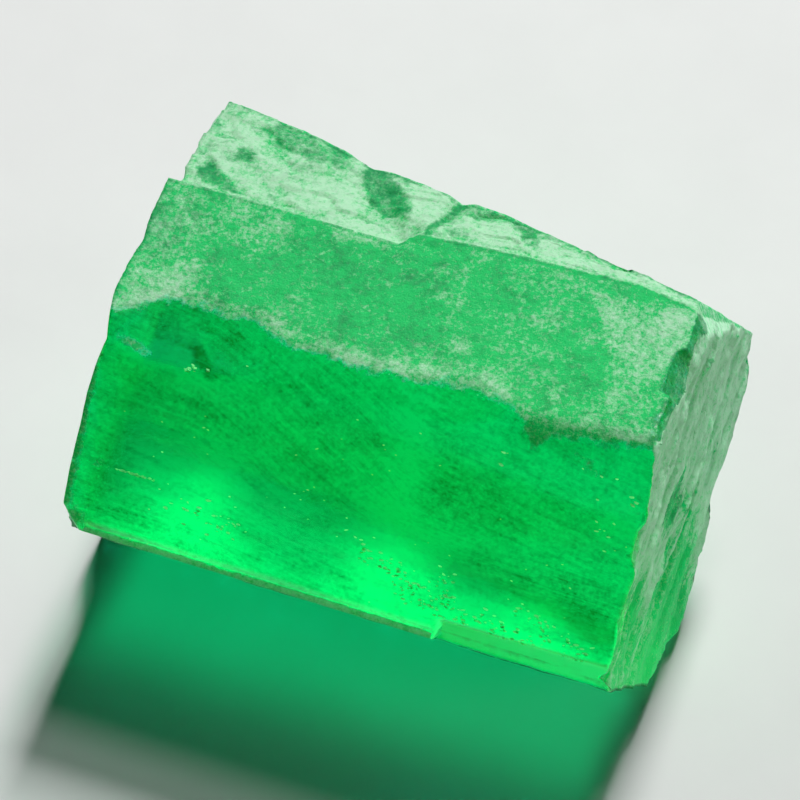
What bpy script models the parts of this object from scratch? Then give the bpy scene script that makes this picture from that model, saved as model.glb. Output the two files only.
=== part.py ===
"""Raw emerald crystal: a stubby six-sided beryl prism, lying on one of its prism faces.

The prism's long axis runs along X, its front edge faces -Y and +Z is up. The
crystal is one solid. Its side faces are lofted between two unlike end sections,
cutters take out its ledges and grooves, planes cleave the corners that have
broken away, and a fine relief roughens the broken ends and the etched faces.
"""

import math

import bmesh
import bpy
from mathutils import Matrix, Vector, noise

MM = 0.001

# Places of the two broken ends along the prism axis, in millimetres.
LEFT_END = -5.80
RIGHT_END = 6.10

# Corners of the section, going round from the front edge and over the top. Each
# is (across, up) in millimetres, first at the left end and then at the right end.
SECTION_CORNERS = {
    "front": ((-0.20, 4.60), (-0.30, 4.72)),
    "fold": ((2.40, 8.40), (2.80, 9.32)),
    "ridge": ((6.15, 8.66), (6.12, 9.52)),
    "ledge_foot": ((6.27, 8.47), (6.22, 9.38)),
    "top_back": ((9.08, 7.95), (6.46, 9.30)),
    "back": ((10.20, 4.60), (9.05, 5.20)),
    "back_lower": ((9.45, 3.00), (8.40, 3.70)),
    "foot_hollow": ((8.35, 1.40), (6.85, 2.25)),
    "bottom_back": ((7.40, 0.00), (5.75, 0.00)),
    "bottom_front": ((2.90, 0.00), (3.35, 0.00)),
}
LOFT_STATIONS = 23

# Slanting blocks that cut the ledges and grooves: middle, full size, turn about X, Y and Z.
CUTTERS = {
    "front_bevel": {"middle": (5.00, -0.50, 4.60), "size": (5.10, 1.00, 2.00), "turn": (0.03, 0.0, 0.0)},
    "band_notch": {"middle": (-6.50, 9.27, 8.60), "size": (2.00, 6.00, 1.70), "turn": (-0.10, 0.12, -0.03)},
    "band_corner": {"middle": (-4.86, 8.40, 8.65), "size": (3.00, 2.80, 1.00), "turn": (-0.193, -0.133, 0.0)},
    "band_groove": {"middle": (-1.74, 7.76, 8.90), "size": (0.95, 2.90, 0.95), "turn": (-0.20, 1.10, 0.62)},
    "band_nick": {"middle": (0.05, 7.50, 9.10), "size": (0.80, 1.70, 0.80), "turn": (-0.18, 0.50, -0.15)},
}

# Flats left where corners broke away: a point on the flat, then the way it faces.
CLEAVED_FLATS = {
    "glassy_bevel": ((5.72, 4.50, 9.42), (0.80, 0.02, 0.60)),
    "right_back_chip": ((6.10, 7.75, 7.10), (0.80, 0.44, 0.40)),
    "right_foot_chip": ((6.10, 4.20, 0.45), (0.66, -0.20, -0.72)),
    "left_front_chip": ((-5.80, 0.10, 4.60), (-0.62, -0.76, -0.18)),
    "left_back_chip": ((-5.80, 9.30, 4.60), (-0.78, 0.62, 0.10)),
    "left_foot_chip": ((-5.80, 5.00, 0.90), (-0.66, 0.10, -0.74)),
    "back_foot_chip": ((0.60, 7.35, 0.95), (0.22, 0.74, -0.64)),
}

# Relief: how closely the faces are scored, and how deep each kind of skin is.
SCORE_PITCH = 0.50
SCORE_SNAP = 0.07
CLEAVE_SNAP = 0.001
RESTING_FACE_TOP = 0.02
FRACTURE_DEPTH = 0.13
FRACTURE_GRAIN = 0.75
FRACTAL_FALL = 0.7
FRACTAL_GAP = 2.1
FRACTAL_LAYERS = 4
TERRACE_DEPTH = 0.22
TERRACE_WIDTH = 1.30
TERRACE_SLOPE = 0.50
ETCH_DEPTH = 0.045
ETCH_GRAIN = 1.7
STRIA_DEPTH = 0.045
STRIA_GRAIN = 1.9
STRIA_STRETCH = 0.12
BROKEN_FACING = 0.45
WHOLLY_BROKEN_FACING = 0.80
STEEP_FACING = 0.60

EMERALD_COLOUR = (0.02, 0.42, 0.13, 1.0)
EMERALD_ROUGHNESS = 0.3
EMERALD_CLEARNESS = 0.6
BERYL_IOR = 1.58


def emerald_material():
    """Transparent green beryl, a little frosted."""
    material = bpy.data.materials.new("emerald")
    material.use_nodes = True
    shader = material.node_tree.nodes["Principled BSDF"]
    shader.inputs["Base Color"].default_value = EMERALD_COLOUR
    shader.inputs["Roughness"].default_value = EMERALD_ROUGHNESS
    shader.inputs["Metallic"].default_value = 0.0
    shader.inputs["IOR"].default_value = BERYL_IOR
    shader.inputs["Transmission Weight"].default_value = EMERALD_CLEARNESS
    return material


def lofted_prism():
    """A prism primitive whose two rings are moved to the two end sections."""
    corners = list(SECTION_CORNERS.values())
    bm = bmesh.new()
    bmesh.ops.create_cone(bm, cap_ends=True, segments=len(corners), radius1=1.0, radius2=1.0, depth=1.0)
    long_edges = [edge for edge in bm.edges if edge.verts[0].co.z * edge.verts[1].co.z < 0]
    rings = [[vert for vert in bm.verts if vert.co.z < 0], [vert for vert in bm.verts if vert.co.z > 0]]
    for side, end in enumerate((LEFT_END, RIGHT_END)):
        rings[side].sort(key=lambda vert: math.atan2(vert.co.y, vert.co.x))
        for vert, corner in zip(rings[side], corners):
            across, up = corner[side]
            vert.co = (end, across, up)
    bmesh.ops.subdivide_edges(bm, edges=long_edges, cuts=LOFT_STATIONS, use_grid_fill=True)
    bmesh.ops.recalc_face_normals(bm, faces=bm.faces)
    return bm


def carve(bm, name, block, cutters):
    """Take a slanting block out of the body with a Boolean, and return what is left."""
    mesh = bpy.data.meshes.new("uncut_crystal")
    bm.to_mesh(mesh)
    bm.free()
    body = bpy.data.objects.new("uncut_crystal", mesh)
    bpy.context.scene.collection.objects.link(body)
    bpy.ops.mesh.primitive_cube_add(size=1.0, location=block["middle"], rotation=block["turn"])
    cutter = bpy.context.object
    cutter.name = name
    cutter.scale = block["size"]
    cutter.hide_render = True
    cutter.display_type = "WIRE"
    for collection in cutter.users_collection:
        collection.objects.unlink(cutter)
    cutters.objects.link(cutter)
    cut = body.modifiers.new(name, "BOOLEAN")
    cut.operation = "DIFFERENCE"
    cut.object = cutter
    depsgraph = bpy.context.evaluated_depsgraph_get()
    carved = bmesh.new()
    carved.from_mesh(body.evaluated_get(depsgraph).to_mesh())
    bpy.data.objects.remove(body)
    return carved


def cleave(bm, point, facing):
    """Cut the corner beyond a plane away, and close the cut with one flat face."""
    everything = bm.verts[:] + bm.edges[:] + bm.faces[:]
    cut = bmesh.ops.bisect_plane(
        bm, geom=everything, dist=CLEAVE_SNAP, plane_co=point, plane_no=facing, clear_outer=True
    )
    rim = [item for item in cut["geom_cut"] if isinstance(item, bmesh.types.BMEdge)]
    bmesh.ops.edgeloop_fill(bm, edges=rim)


def score(bm, axis, wanted):
    """Score the wanted faces with parallel planes, so that they have points to carry relief."""
    normal = Vector((0.0, 0.0, 0.0))
    normal[axis] = 1.0
    low = min(vert.co[axis] for vert in bm.verts)
    high = max(vert.co[axis] for vert in bm.verts)
    count = round((high - low) / SCORE_PITCH)
    for step in range(1, count):
        faces = [face for face in bm.faces if wanted(face.normal)]
        edges = {edge for face in faces for edge in face.edges}
        verts = {vert for face in faces for vert in face.verts}
        place = normal * (low + (high - low) * step / count)
        bmesh.ops.bisect_plane(
            bm, geom=faces + list(edges) + list(verts), dist=SCORE_SNAP, plane_co=place, plane_no=normal
        )


def layered_noise(place, grain):
    """Noise at a place, in layers that get finer and weaker."""
    return noise.fractal(place * grain, FRACTAL_FALL, FRACTAL_GAP, FRACTAL_LAYERS)


def relief(place, facing):
    """Depth of the skin at a place: terraces and fracture on the ends, etching and striae elsewhere."""
    broken = (abs(facing.x) - BROKEN_FACING) / (WHOLLY_BROKEN_FACING - BROKEN_FACING)
    broken = min(1.0, max(0.0, broken))
    fracture = FRACTURE_DEPTH * layered_noise(place, FRACTURE_GRAIN)
    climb = place.z - TERRACE_SLOPE * place.y + noise.noise(place * FRACTURE_GRAIN)
    terrace = TERRACE_DEPTH * ((climb / TERRACE_WIDTH) % 1.0 - 0.5)
    etching = ETCH_DEPTH * layered_noise(place, ETCH_GRAIN)
    along = Vector((place.x * STRIA_STRETCH, place.y, place.z)) * STRIA_GRAIN
    striae = STRIA_DEPTH * noise.noise(along)
    return broken * (fracture + terrace) + (1.0 - broken) * (etching + striae)


def roughen(bm):
    """Move every point along its normal by the relief, except on the face it rests on."""
    bm.normal_update()
    moves = {}
    for vert in bm.verts:
        if vert.co.z > RESTING_FACE_TOP:
            moves[vert] = vert.normal * relief(vert.co, vert.normal)
    for vert, move in moves.items():
        vert.co += move
        vert.co.z = max(vert.co.z, 0.0)


def finish(bm):
    """Triangulate, set the middle of the foot at the origin, and go from millimetres to metres."""
    bmesh.ops.triangulate(bm, faces=bm.faces)
    low = Vector([min(vert.co[axis] for vert in bm.verts) for axis in range(3)])
    high = Vector([max(vert.co[axis] for vert in bm.verts) for axis in range(3)])
    middle = (low + high) / 2
    shift = Vector((middle.x, middle.y, low.z))
    bmesh.ops.translate(bm, verts=bm.verts, vec=-shift)
    bmesh.ops.transform(bm, matrix=Matrix.Scale(MM, 4), verts=bm.verts)
    bmesh.ops.recalc_face_normals(bm, faces=bm.faces)


def build():
    """Clear the scene and build the crystal as one object."""
    for item in list(bpy.data.objects):
        bpy.data.objects.remove(item)
    parts = bpy.data.collections.new("raw_emerald_crystal")
    cutters = bpy.data.collections.new("cutters")
    for collection in (parts, cutters):
        bpy.context.scene.collection.children.link(collection)

    bm = lofted_prism()
    for name, block in CUTTERS.items():
        bm = carve(bm, name, block, cutters)
    for point, facing in CLEAVED_FLATS.values():
        cleave(bm, point, facing)
    score(bm, 1, lambda facing: abs(facing.z) > STEEP_FACING or abs(facing.x) > STEEP_FACING)
    score(bm, 2, lambda facing: abs(facing.z) <= STEEP_FACING or abs(facing.x) > STEEP_FACING)
    roughen(bm)
    finish(bm)

    mesh = bpy.data.meshes.new("emerald_crystal")
    bm.to_mesh(mesh)
    bm.free()
    mesh.materials.append(emerald_material())
    crystal = bpy.data.objects.new("emerald_crystal", mesh)
    parts.objects.link(crystal)


build()
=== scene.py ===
"""Looks of a raw emerald crystal: a stubby six-sided prism of green beryl lying on one of its faces."""

import bpy
import numpy as np
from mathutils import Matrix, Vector


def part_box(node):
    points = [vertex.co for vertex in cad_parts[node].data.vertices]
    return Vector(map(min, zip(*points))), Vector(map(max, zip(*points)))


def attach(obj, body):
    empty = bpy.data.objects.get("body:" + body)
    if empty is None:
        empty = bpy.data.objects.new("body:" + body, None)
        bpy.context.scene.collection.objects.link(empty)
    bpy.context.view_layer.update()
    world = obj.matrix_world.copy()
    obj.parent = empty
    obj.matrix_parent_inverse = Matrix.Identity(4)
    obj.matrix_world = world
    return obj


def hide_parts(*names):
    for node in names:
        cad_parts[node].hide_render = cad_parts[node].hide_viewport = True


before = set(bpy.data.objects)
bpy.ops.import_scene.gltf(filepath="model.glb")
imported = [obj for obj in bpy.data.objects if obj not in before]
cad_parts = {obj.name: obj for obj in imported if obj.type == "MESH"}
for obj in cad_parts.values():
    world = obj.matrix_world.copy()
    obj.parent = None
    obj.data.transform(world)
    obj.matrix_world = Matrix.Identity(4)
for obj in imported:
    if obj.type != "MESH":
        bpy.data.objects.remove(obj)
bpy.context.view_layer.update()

# ---------------------------------------------------------------------------
# The crystal: one solid of beryl, grown as a six-sided prism and broken at both ends.
# Its lower front face is clear, the upper faces are etched to a frosted skin, and a
# stepped band with cleaved flats runs along the top of its back.
# ---------------------------------------------------------------------------
MM = 0.001
MIDDLE = np.array([0.1595, 4.9238, 0.0])
LEFT_END = -5.80
RIGHT_END = 6.12

# Corners of the section in order, front edge first: (across, up) at the left end and the
# right end in millimetres, then how many mesh columns run on to the next corner.
SECTION = {
    "front": ((-0.20, 4.60), (-0.30, 4.72), 78),
    "fold": ((2.40, 8.40), (2.80, 9.32), 70),
    "ridge": ((6.15, 8.66), (6.12, 9.52), 6),
    "ledge_foot": ((6.27, 8.47), (6.22, 9.38), 56),
    "top_back": ((9.08, 7.95), (6.46, 9.30), 34),
    "back": ((10.20, 4.60), (9.05, 5.20), 12),
    "back_lower": ((9.45, 3.00), (8.40, 3.70), 12),
    "foot_hollow": ((8.35, 1.40), (6.85, 2.25), 14),
    "bottom_back": ((7.40, 0.00), (5.75, 0.00), 30),
    "bottom_front": ((2.90, 0.00), (3.35, 0.00), 40),
}
NAMES = list(SECTION)
FRONT = NAMES.index("front")
FOLD = NAMES.index("fold")
RIDGE = NAMES.index("ridge")
LEDGE_FOOT = NAMES.index("ledge_foot")
TOP_BACK = NAMES.index("top_back")
LEFT_CAP_ROWS = 26
SIDE_ROWS = 156
RIGHT_CAP_ROWS = 60
HEART = np.array([4.90, 4.70])

# The ridge between the two upper faces and the back edge of the band, as (along, across).
RIDGE_LINE = np.array(
    [
        (-5.9, 6.17), (-4.2, 6.14), (-2.9, 6.09), (-0.62, 5.98), (-0.40, 6.34),
        (1.4, 6.42), (4.4, 6.45), (5.6, 6.25), (6.2, 6.05),
    ]
)
BAND_BACK_LINE = np.array(
    [
        (-5.9, 9.12), (-4.8, 8.90), (-2.8, 8.42), (-2.38, 8.27), (-2.0, 8.15),
        (-1.7, 8.14), (0.0, 7.78), (1.4, 7.56), (4.5, 6.88), (6.2, 6.50),
    ]
)
RIDGE_CLIMB = 0.065
LEDGE_WIDTH = 0.11
LEAST_BAND_WIDTH = 0.22
# Where the two broken ends meet the front faces, as (girth from the front edge, along).
LEFT_RIM = np.array(
    [
        (0.0, -5.74), (0.4, -5.88), (1.3, -5.90), (2.7, -5.86), (3.3, -5.86), (4.0, -5.80), (4.7, -5.68),
        (5.2, -5.76), (5.9, -5.89), (6.6, -5.86), (7.2, -5.79), (8.0, -5.86), (8.5, -5.84),
    ]
)
RIGHT_RIM = np.array(
    [
        (0.0, 6.02), (0.3, 6.10), (0.7, 6.20), (1.0, 6.18), (1.7, 6.14), (2.4, 6.21),
        (3.0, 6.08), (3.3, 6.06), (3.5, 6.16), (4.0, 6.16), (4.6, 6.12), (8.5, 6.12),
    ]
)
RIGHT_BREAK_MIDDLE = 6.10


def lattice_noise(places, seed):
    """Smooth noise from -1 to 1: each corner of a unit lattice has a random number, its place times
    large primes with the high bits folded onto the low ones, and these are eased between corners."""
    base = np.floor(places).astype(np.int64)
    part = places - base
    ease = part**3 * (part * (part * 6.0 - 15.0) + 10.0)
    total = np.zeros(places.shape[:-1])
    for corner in np.ndindex(2, 2, 2):
        cell = base + np.array(corner)
        mixed = (cell[..., 0] * 73856093) ^ (cell[..., 1] * 19349663)
        mixed = mixed ^ (cell[..., 2] * 83492791) ^ (seed * 7919)
        mixed = ((mixed ^ (mixed >> 13)) * 1274126177) & 0xFFFFFFFF
        mixed = ((mixed ^ (mixed >> 15)) * 2246822519) & 0xFFFFFFFF
        value = (mixed ^ (mixed >> 16)) / 2147483648.0 - 1.0
        total += value * np.prod(np.where(corner, ease, 1.0 - ease), axis=-1)
    return total


def layered_noise(places, seed, layers=4, fall=0.55):
    """Sum of lattice noises, each layer about twice as fine as the last and weaker by the share fall,
    divided by the sum of their strengths."""
    total = np.zeros(places.shape[:-1])
    strength = 1.0
    whole = 0.0
    for layer in range(layers):
        total += strength * lattice_noise(places * 2.03**layer, seed + 17 * layer)
        whole += strength
        strength *= fall
    return total / whole


def ramp(value, low, high):
    """0 below low, 1 above high, and between them three times the share squared less twice its cube."""
    share = np.clip((value - low) / (high - low), 0.0, 1.0)
    return share * share * (3.0 - 2.0 * share)


def cleavage_blocks(across, up, size, seed):
    """Small tilted flats: each place takes the height and slope of the jittered grid point that is
    least far from it by the larger of its two distances."""
    jitter = 0.42
    gx = across / size[0]
    gy = up / size[1]
    best = np.full(gx.shape, 1e9)
    height = np.zeros(gx.shape)
    for step in np.ndindex(3, 3):
        cx = np.floor(gx) + step[0] - 1
        cy = np.floor(gy) + step[1] - 1
        cell = np.stack([cx, cy, np.zeros_like(cx)], axis=-1) + 0.5
        jx = cx + 0.5 + jitter * lattice_noise(cell * 1.37, seed)
        jy = cy + 0.5 + jitter * lattice_noise(cell * 1.73, seed + 1)
        far = np.maximum(np.abs(gx - jx), np.abs(gy - jy))
        tilt_x = lattice_noise(cell * 1.91, seed + 2)
        tilt_y = lattice_noise(cell * 2.17, seed + 3)
        level = lattice_noise(cell * 2.71, seed + 4)
        here = 0.35 * level + tilt_x * (gx - jx) + tilt_y * (gy - jy)
        closer = far < best
        height = np.where(closer, here, height)
        best = np.minimum(best, far)
    return height


def corner_lines(along):
    """Where each corner of the section is at these places along the prism: a straight loft between
    the two end sections, with the ridge and the back of the band on their own wavy lines."""
    share = ((along - LEFT_END) / (RIGHT_END - LEFT_END))[..., None, None]
    left = np.array([SECTION[name][0] for name in NAMES])
    right = np.array([SECTION[name][1] for name in NAMES])
    corners = left * (1.0 - share) + right * share
    ridge_y = np.interp(along, RIDGE_LINE[:, 0], RIDGE_LINE[:, 1])
    climb = RIDGE_CLIMB * (ridge_y - corners[..., RIDGE, 0])
    corners[..., RIDGE, 1] += climb
    corners[..., LEDGE_FOOT, 1] += climb
    corners[..., RIDGE, 0] = ridge_y
    corners[..., LEDGE_FOOT, 0] = ridge_y + LEDGE_WIDTH
    band_y = np.interp(along, BAND_BACK_LINE[:, 0], BAND_BACK_LINE[:, 1])
    corners[..., TOP_BACK, 0] = np.maximum(band_y, ridge_y + LEAST_BAND_WIDTH)
    return corners


# Which stretch of the section each column is on, and how far along that stretch.
counts = np.array([SECTION[name][2] for name in NAMES])
stretch = np.repeat(np.arange(len(NAMES)), counts)
first = np.concatenate([[0], np.cumsum(counts)[:-1]])
part_way = (np.arange(len(stretch)) - first[stretch]) / counts[stretch]
columns = len(stretch)


def section_points(along):
    """Points round the section at these places along the prism, one for each column: the share of
    the way from one corner straight to the next."""
    corners = corner_lines(along)
    row_numbers = np.arange(along.shape[0])[:, None]
    column_numbers = np.arange(columns)[None, :]
    here = corners[row_numbers, column_numbers, stretch[None, :]]
    onward = corners[row_numbers, column_numbers, (stretch[None, :] + 1) % len(NAMES)]
    return here * (1.0 - part_way[None, :, None]) + onward * part_way[None, :, None]


def girth_of_columns():
    """Distance round the section from the front edge to each column: the running sum of the steps
    between columns, at the middle of the prism."""
    middle = section_points(np.zeros((1, columns)))[0]
    steps = np.linalg.norm(np.diff(middle, axis=0), axis=1)
    return np.concatenate([[0.0], np.cumsum(steps)])


girth = girth_of_columns()
fold_girth = girth[first[FOLD]]


def left_break(across, up, round_there, edge):
    """Place along the prism of the left break: its rim line near the front faces, wavy elsewhere,
    with the band's end set back behind a step and a swelling near the foot."""
    foot_swell = 0.40
    places = np.stack([across * 0.0, across, up], axis=-1)
    rim = np.interp(round_there, LEFT_RIM[:, 0], LEFT_RIM[:, 1])
    wavy = LEFT_END + 0.10 * layered_noise(places * 0.8, 31)
    back_part = ramp(across, 6.2, 7.0)
    front_part = edge * (1.0 - back_part)
    end = rim * front_part + wavy * (1.0 - front_part)
    notch = ramp(across, 6.22, 6.34) * ramp(up, 7.55, 7.85)
    corner_line = -5.62 - 0.09 * np.sin((across - 6.3) * 1.3)
    foot = ramp(up, 4.0, 1.6) * ramp(across, 1.8, 2.9) * ramp(across, 9.0, 7.5)
    return end * (1.0 - notch) + corner_line * notch - foot_swell * foot


def along_fibres(across, up):
    """Distance along the fibres of the right break: the shares of across and up in their direction."""
    return 0.90 * across + 0.43 * up


def over_fibres(across, up):
    """Distance square to the fibres of the right break: the same shares, turned a quarter round."""
    return 0.90 * up - 0.43 * across


def end_fibres(across, up):
    """Splintery skin of the right break, up to 1 on thin crests: 1 less the size of a noise that is
    drawn out along lines which climb to the back."""
    along_fibre = along_fibres(across, up)
    over_fibre = over_fibres(across, up)
    zero = across * 0.0
    sway = layered_noise(np.stack([zero, along_fibre * 0.6, over_fibre * 0.6], axis=-1), 46)
    places = np.stack([zero, along_fibre * 0.30, over_fibre * 1.25 + 0.45 * sway], axis=-1)
    return 1.0 - 2.6 * np.abs(layered_noise(places, 47, 6, 0.68))


def right_break(across, up, round_there, edge):
    """Place along the prism of the right break: the sum of slanting terraces, shell-shaped waves,
    chips and splintery fibres, drawn to its own rim line where it meets the front faces."""
    zero = across * 0.0
    places = np.stack([zero, across, up], axis=-1)
    along_ridges = along_fibres(across, up)
    over_ridges = over_fibres(across, up)
    slanted = np.stack([zero, along_ridges * 0.35, over_ridges], axis=-1)
    climb = over_ridges + 0.9 * layered_noise(slanted * 0.9, 41)
    rise = (climb / 1.45) % 1.0
    terrace = np.where(rise < 0.86, rise / 0.86, (1.0 - rise) / 0.14)
    bowl = layered_noise(places * 0.55, 44)
    chips = cleavage_blocks(along_ridges, over_ridges, (1.1, 0.42), 45)
    skin = 0.12 * (terrace - 0.5) + 0.05 * end_fibres(across, up) + 0.12 * bowl + 0.05 * chips
    skin += 0.02 * layered_noise(places * 4.0, 48, 3)
    rim = np.interp(round_there, RIGHT_RIM[:, 0], RIGHT_RIM[:, 1])
    return RIGHT_BREAK_MIDDLE + skin + (rim - RIGHT_BREAK_MIDDLE) * edge


# Rows of the mesh: rings of the left break from its heart outwards, the prism's sides, and
# rings of the right break back in to its heart.
left_reach = np.linspace(0.015, 1.0, LEFT_CAP_ROWS, endpoint=False)
right_reach = np.linspace(1.0, 0.012, RIGHT_CAP_ROWS + 1)[1:]
reach = np.concatenate([left_reach, np.ones(SIDE_ROWS), right_reach])[:, None]
side_share = np.concatenate(
    [np.zeros(LEFT_CAP_ROWS), np.linspace(0.0, 1.0, SIDE_ROWS), np.ones(RIGHT_CAP_ROWS)]
)[:, None]
rows = reach.shape[0]

# The section depends on the place along the prism, and the breaks on the section, so both are
# worked out a few times over until they settle.
SETTLE_STEPS = 3
edge = ramp(reach, 0.80, 1.0)
along = LEFT_END + (RIGHT_END - LEFT_END) * side_share + np.zeros((1, columns))
for _ in range(SETTLE_STEPS):
    outline = section_points(along)
    flat_points = HEART + reach[..., None] * (outline - HEART)
    across = flat_points[..., 0]
    up = flat_points[..., 1]
    round_there = np.broadcast_to(girth[None, :], across.shape)
    low_end = left_break(across, up, round_there, edge)
    high_end = right_break(across, up, round_there, edge)
    along = low_end * (1.0 - side_share) + high_end * side_share

points = np.stack([along, across, up], axis=-1)
on_side = (reach >= 1.0) & np.ones((1, columns), bool)
kind = np.broadcast_to(stretch[None, :], along.shape)


def starting_at(*names):
    """Which points of the sides are on a stretch that starts at one of these corners."""
    return on_side & np.isin(kind, [NAMES.index(name) for name in names])


# The clear face, the frosted top face, the band, the back, the face it rests on and the face
# that leans in under the clear one.
on_front = starting_at("front")
on_top = starting_at("fold")
on_band = starting_at("ridge", "ledge_foot")
on_back = starting_at("top_back", "back", "back_lower", "foot_hollow")
on_foot = starting_at("bottom_back")
on_under = starting_at("bottom_front")


def slope_normals(grid):
    """Outward normals of the grid: the cross product of its steps round and along, turned about and
    divided by its length."""
    round_step = np.roll(grid, -1, axis=1) - np.roll(grid, 1, axis=1)
    along_step = np.gradient(grid, axis=0)
    normal = np.cross(round_step, along_step)
    length = np.linalg.norm(normal, axis=-1, keepdims=True)
    return -normal / np.maximum(length, 1e-9)


normals = slope_normals(points)

# The edge of the frost: how far above the fold it starts, along the crystal.
FROST_EDGE = np.array(
    [
        (-5.9, 0.40), (-5.5, 0.43), (-4.8, 0.95), (-4.2, 0.97), (-3.75, 1.03), (-3.4, 0.84),
        (-2.9, 0.97), (-2.35, 0.68), (-1.8, 0.40), (-1.15, 0.46), (-0.6, 0.32), (0.6, 0.30),
        (1.45, 0.43), (1.9, 0.46), (2.3, 0.32), (2.75, 0.24), (3.07, 0.11), (3.4, -0.24),
        (3.6, -0.52), (4.05, -0.19), (4.9, -0.12), (6.3, 0.0),
    ]
)
above_fold = np.where(on_side, girth[None, :] - fold_girth, 0.0)
frost_line = np.interp(points[..., 0], FROST_EDGE[:, 0], FROST_EDGE[:, 1])

# Skin: etch pits and bumps on the upper faces, faint growth lines along the clear face, a
# ragged skin on the back, and blocky cleavage flats along the band.
x = points[..., 0]
y = points[..., 1]
z = points[..., 2]
etch = 0.030 * layered_noise(points * 2.2, 3, 5, 0.7) + 0.010 * cleavage_blocks(x, y, (0.7, 0.35), 8)
stretched = points * np.array([0.25, 1.0, 1.0])
striae = 0.012 * layered_noise(stretched * 2.4, 5, 4, 0.6)
rough_back = 0.07 * layered_noise(points * 0.9, 6, 5, 0.6)
skin = np.where(on_top, etch * ramp(above_fold - frost_line, 0.0, 0.25), 0.0)
skin = np.where(on_front, striae, skin)
skin = np.where(on_back | on_under, rough_back, skin)

# The groove that crosses the band, the nick beside it and the split corner at its left end.
valley_along = (x + 2.03) * 0.587 - (y - 8.07) * 0.81
valley_over = (x + 2.03) * 0.81 + (y - 8.07) * 0.587
valley_far = np.clip(valley_along / 2.18, 0.0, 1.0)
wall_width = 0.62 - 0.41 * valley_far
valley_depth = (0.10 + 0.06 * valley_far) * ramp(valley_along, 2.6, 2.15)
right_wall = 1.0 - valley_over / wall_width
left_wall = 1.0 + valley_over / 0.80
groove = valley_depth * np.clip(np.where(valley_over > 0.0, right_wall, left_wall), 0.0, 1.0)
nick_over = x * 0.98 - (y - 7.3) * 0.17
nick = 0.16 * np.clip(1.0 - np.abs(nick_over) / 0.30, 0.0, 1.0) * ramp(y, 6.7, 7.2)
corner_over = -((x + 5.45) * 0.835 - (y - 6.96) * 0.55)
corner_split = 0.07 * np.clip(corner_over, 0.0, 2.0) * ramp(x, -3.9, -4.6)
band_flats = 0.10 * cleavage_blocks(x + 0.5 * y, y - 0.15 * x, (0.85, 0.62), 12)
band_flats += 0.05 * cleavage_blocks(x - 0.8 * y, y, (0.42, 0.30), 14)
band_depth = ramp(y - np.interp(x, RIDGE_LINE[:, 0], RIDGE_LINE[:, 1]), 0.05, 0.3)
band_cut = (groove + nick + corner_split) * band_depth
band_skin = band_flats * band_depth * ramp(x, 6.3, 4.5) + 0.012 * layered_noise(points * 3.0, 9)
skin = np.where(on_band, band_skin, skin)
cap_skin = 0.02 * layered_noise(points * 3.2, 10, 4, 0.7)
skin = np.where(on_side, skin, cap_skin)
skin = np.where(on_foot, 0.0, skin)
points = points + normals * skin[..., None]
lowered = np.where(on_band | (kind == LEDGE_FOOT) | (kind == TOP_BACK), band_cut, 0.0)
near_top = ramp(points[..., 2], 7.2, 7.9) * ramp(reach, 0.90, 0.99)
points[..., 2] -= lowered * near_top

# The fold between the clear face and the top face is worn round as far up as the frost.
fold_corners = corner_lines(points[..., 0])
fold_place = fold_corners[..., FOLD, :]
up_top = fold_corners[..., RIDGE, :] - fold_place
up_top /= np.linalg.norm(up_top, axis=-1, keepdims=True)
up_front = fold_place - fold_corners[..., FRONT, :]
up_front /= np.linalg.norm(up_front, axis=-1, keepdims=True)
worn_up = np.clip(frost_line + 0.10, 0.16, None) + 0.05 * layered_noise(points * 0.8, 17, 2)
worn_up *= 0.45 + 0.55 * ramp(points[..., 0], -5.9, -5.0)
high_end_of_wear = fold_place + up_top * worn_up[..., None]
low_end_of_wear = fold_place - up_front * (0.22 + 0.40 * worn_up[..., None])
chord = high_end_of_wear - low_end_of_wear
chord /= np.linalg.norm(chord, axis=-1, keepdims=True)
out_of_chord = np.stack([-chord[..., 1], chord[..., 0]], axis=-1)
beyond = np.sum((points[..., 1:] - low_end_of_wear) * out_of_chord, axis=-1)
ROUNDNESS = 0.04
worn = ROUNDNESS * np.log1p(np.exp(np.clip(beyond / ROUNDNESS, -30.0, 30.0)))
worn = np.where(on_front | on_top, worn, np.clip(beyond, 0.0, None)) * ramp(reach, 0.90, 1.0)
points[..., 1:] -= out_of_chord * worn[..., None]

# Flats where corners broke away: a point on the flat, then the way it faces.
CLEAVED_FLATS = {
    "glassy_bevel": ((5.93, 4.50, 9.42), (0.80, 0.02, 0.60)),
    "right_back_chip": ((6.10, 7.75, 7.10), (0.80, 0.44, 0.40)),
    "right_foot_chip": ((6.10, 4.20, 0.45), (0.66, -0.20, -0.72)),
    "left_front_chip": ((-5.80, 0.10, 4.60), (-0.62, -0.76, -0.18)),
    "left_back_chip": ((-5.80, 9.30, 4.60), (-0.78, 0.62, 0.10)),
    "back_foot_chip": ((0.60, 7.35, 0.95), (0.22, 0.74, -0.64)),
}


def cleave(grid, place, facing, deeper):
    """Press every point beyond a plane straight back onto it: its distance past the plane is taken
    off along the way the plane faces. Also says which points moved."""
    unit = np.array(facing) / np.linalg.norm(facing)
    past = (grid - np.array(place)) @ unit + deeper
    pressed = grid - np.clip(past, 0.0, None)[..., None] * unit
    return pressed, past > 0.0


cleaved = {}
bevel_chip = ramp(points[..., 1], 4.02, 4.10) * ramp(points[..., 1], 5.25, 5.08)
bevel_depth = 0.17 * bevel_chip + 0.05 * layered_noise(points * 1.8, 16, 4, 0.6)
for name, (place, facing) in CLEAVED_FLATS.items():
    deeper = bevel_depth if name == "glassy_bevel" else 0.0
    points, cleaved[name] = cleave(points, place, facing, deeper)

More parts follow.
